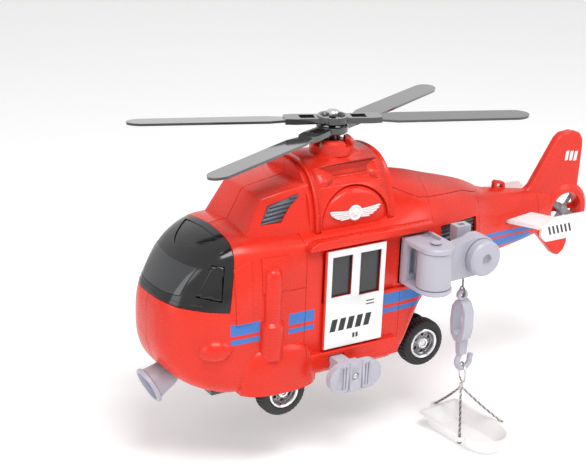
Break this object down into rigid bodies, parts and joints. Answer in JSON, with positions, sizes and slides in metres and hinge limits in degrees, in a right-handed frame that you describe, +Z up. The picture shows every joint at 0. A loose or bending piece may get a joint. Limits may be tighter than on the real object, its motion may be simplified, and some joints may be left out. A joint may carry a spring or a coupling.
{
  "type": "toy rescue helicopter",
  "caption": "Moulded toy rescue helicopter with folding rotor, spinning tail fan, sliding doors, pull-out stabilisers, tilting searchlight and a side winch carrying a stretcher.",
  "frame": {"origin": "on the flat underside of the chassis plate, directly below the rotor mast", "axes": "+X towards the nose, +Y the helicopter's left side, +Z up"},
  "size_m": [0.29, 0.1364, 0.1774],
  "materials": {
    "red_plastic": "glossy moulded red",
    "white_plastic": "white moulded",
    "light_grey_plastic": "pale lavender grey moulded",
    "dark_grey_plastic": "dark blue grey, satin",
    "black_plastic": "black moulded",
    "black_glazing": "opaque polished black glazing",
    "tyre_rubber": "black rubber",
    "chromed_plastic": "chromed plastic",
    "steel": "bright steel",
    "blue_lens": "translucent blue",
    "grey_cord": "twisted grey cord",
    "green_board": "green circuit board",
    "clear_led": "clear lamp body"
  },
  "bodies": {
    "airframe": {"fuselage_left": "red_plastic", "fuselage_right": "red_plastic", "engine_cover": "red_plastic", "chassis_plate": "black_plastic", "canopy_frame": "black_glazing", "windshield_glass": "black_glazing", "side_window_left": "black_glazing", "side_window_right": "black_glazing", "cowl_grille_left": "dark_grey_plastic", "cowl_grille_right": "dark_grey_plastic", "rear_grille_left": "dark_grey_plastic", "rear_grille_right": "dark_grey_plastic", "badge_left": "white_plastic", "badge_right": "white_plastic", "tailplane": "white_plastic", "hoist_bracket": "light_grey_plastic", "hoist_pin": "light_grey_plastic", "battery_cover": "black_plastic", "battery_cells": "steel", "circuit_board": "green_board", "speaker": "dark_grey_plastic", "friction_case": "black_plastic"},
    "searchlight": {"searchlight_housing": "light_grey_plastic", "searchlight_lens": "blue_lens", "searchlight_led": "clear_led"},
    "rotor": {"rotor_mast": "black_plastic", "rotor_lower_blades": "black_plastic", "rotor_cap": "steel"},
    "rotor_upper_bar": {"rotor_upper_blades": "black_plastic"},
    "tail_rotor": {"tail_fan": "white_plastic"},
    "front_wheels": {"front_axle": "steel", "wheel_hub_front_left": "chromed_plastic", "wheel_hub_front_right": "chromed_plastic", "tyre_front_left": "tyre_rubber", "tyre_front_right": "tyre_rubber"},
    "rear_wheels": {"rear_axle": "steel", "wheel_hub_rear_left": "chromed_plastic", "wheel_hub_rear_right": "chromed_plastic", "tyre_rear_left": "tyre_rubber", "tyre_rear_right": "tyre_rubber", "axle_gear": "white_plastic"},
    "idler": {"idler_gear": "white_plastic"},
    "fly": {"flywheel": "steel"},
    "left_door": {"door_left": "white_plastic", "door_glass_left": "black_glazing"},
    "right_door": {"door_right": "white_plastic", "door_glass_right": "black_glazing"},
    "left_stabiliser": {"stabiliser_bar_left": "light_grey_plastic"},
    "left_foot": {"stabiliser_foot_left": "light_grey_plastic"},
    "right_stabiliser": {"stabiliser_bar_right": "light_grey_plastic"},
    "right_foot": {"stabiliser_foot_right": "light_grey_plastic"},
    "hoist": {"hoist_arm": "light_grey_plastic"},
    "winch": {"winch_knob": "light_grey_plastic"},
    "lever": {"winch_lever": "light_grey_plastic"},
    "cord": {"hoist_cord": "grey_cord"},
    "load_hook": {"hook": "light_grey_plastic"},
    "stretcher": {"sling_ring": "steel", "stretcher_slings": "grey_cord", "stretcher_tray": "white_plastic"}
  },
  "joints": [
    {"name": "searchlight_tilt", "type": "hinge", "parent": "airframe", "child": "searchlight", "pos_m": [0.094, 0, 0.0055], "axis": [0, 1, 0], "range_deg": [-10, 10]},
    {"name": "rotor_spin", "type": "hinge", "parent": "airframe", "child": "rotor", "pos_m": [0, 0, 0.12], "axis": [0, 0, 1], "continuous": true},
    {"name": "rotor_fold", "type": "hinge", "parent": "rotor", "child": "rotor_upper_bar", "pos_m": [0, 0, 0.129], "axis": [0, 0, 1], "range_deg": [-44, 45]},
    {"name": "tail_fan_spin", "type": "hinge", "parent": "airframe", "child": "tail_rotor", "pos_m": [-0.1635, 0, 0.054], "axis": [0, 1, 0], "continuous": true},
    {"name": "front_axle_spin", "type": "hinge", "parent": "airframe", "child": "front_wheels", "pos_m": [0.0467, 0, -0.0006], "axis": [0, 1, 0], "continuous": true},
    {"name": "rear_axle_spin", "type": "hinge", "parent": "airframe", "child": "rear_wheels", "pos_m": [-0.053, 0, -0.0006], "axis": [0, 1, 0], "continuous": true},
    {"name": "idler_spin", "type": "hinge", "parent": "airframe", "child": "idler", "pos_m": [-0.0454, 0, 0.0032], "axis": [0, 1, 0], "continuous": true},
    {"name": "flywheel_spin", "type": "hinge", "parent": "airframe", "child": "fly", "pos_m": [-0.0392, 0, 0.0086], "axis": [0, 1, 0], "continuous": true},
    {"name": "door_left_slide", "type": "slide", "parent": "airframe", "child": "left_door", "axis": [-1, 0, 0], "range_m": [0, 0.011]},
    {"name": "door_right_slide", "type": "slide", "parent": "airframe", "child": "right_door", "axis": [-1, 0, 0], "range_m": [0, 0.028]},
    {"name": "stabiliser_left_slide", "type": "slide", "parent": "airframe", "child": "left_stabiliser", "axis": [0, 1, 0], "range_m": [-0.006, 0.002]},
    {"name": "stabiliser_right_slide", "type": "slide", "parent": "airframe", "child": "right_stabiliser", "axis": [0, -1, 0], "range_m": [-0.006, 0.002]},
    {"name": "foot_left_turn", "type": "hinge", "parent": "left_stabiliser", "child": "left_foot", "pos_m": [0.0126, 0.048, 0.007], "axis": [0, 1, 0], "range_deg": [0, 90]},
    {"name": "foot_right_turn", "type": "hinge", "parent": "right_stabiliser", "child": "right_foot", "pos_m": [0.0126, -0.048, 0.007], "axis": [0, 1, 0], "range_deg": [0, 90]},
    {"name": "hoist_swing", "type": "hinge", "parent": "airframe", "child": "hoist", "pos_m": [-0.0332, 0.0515, 0.059], "axis": [0, 0, -1], "range_deg": [0, 75]},
    {"name": "winch_turn", "type": "hinge", "parent": "hoist", "child": "winch", "pos_m": [-0.0615, 0.048, 0.061], "axis": [0, 1, 0], "range_deg": [0, 53]},
    {"name": "winch_lever_turn", "type": "hinge", "parent": "hoist", "child": "lever", "pos_m": [-0.0615, 0.048, 0.061], "axis": [0, 1, 0], "range_deg": [-20, 20]},
    {"name": "hoist_lift", "type": "slide", "parent": "hoist", "child": "cord", "axis": [0, 0, 1], "range_m": [0, 0.0062]},
    {"name": "hook_swing", "type": "hinge", "parent": "cord", "child": "load_hook", "pos_m": [-0.0552, 0.0487, 0.0391], "axis": [0, 1, 0], "range_deg": [-20, 20]},
    {"name": "stretcher_swing", "type": "hinge", "parent": "load_hook", "child": "stretcher", "pos_m": [-0.0596, 0.0487, -0.0026], "axis": [1, 0, 0], "range_deg": [-15, 15]}
  ],
  "couplings": [
    {"joint": "idler_spin", "follows": "rear_axle_spin", "ratio": -1.625},
    {"joint": "flywheel_spin", "follows": "rear_axle_spin", "ratio": 2.4375},
    {"joint": "hoist_lift", "follows": "winch_turn", "m_per_rad": 0.0065}
  ]
}
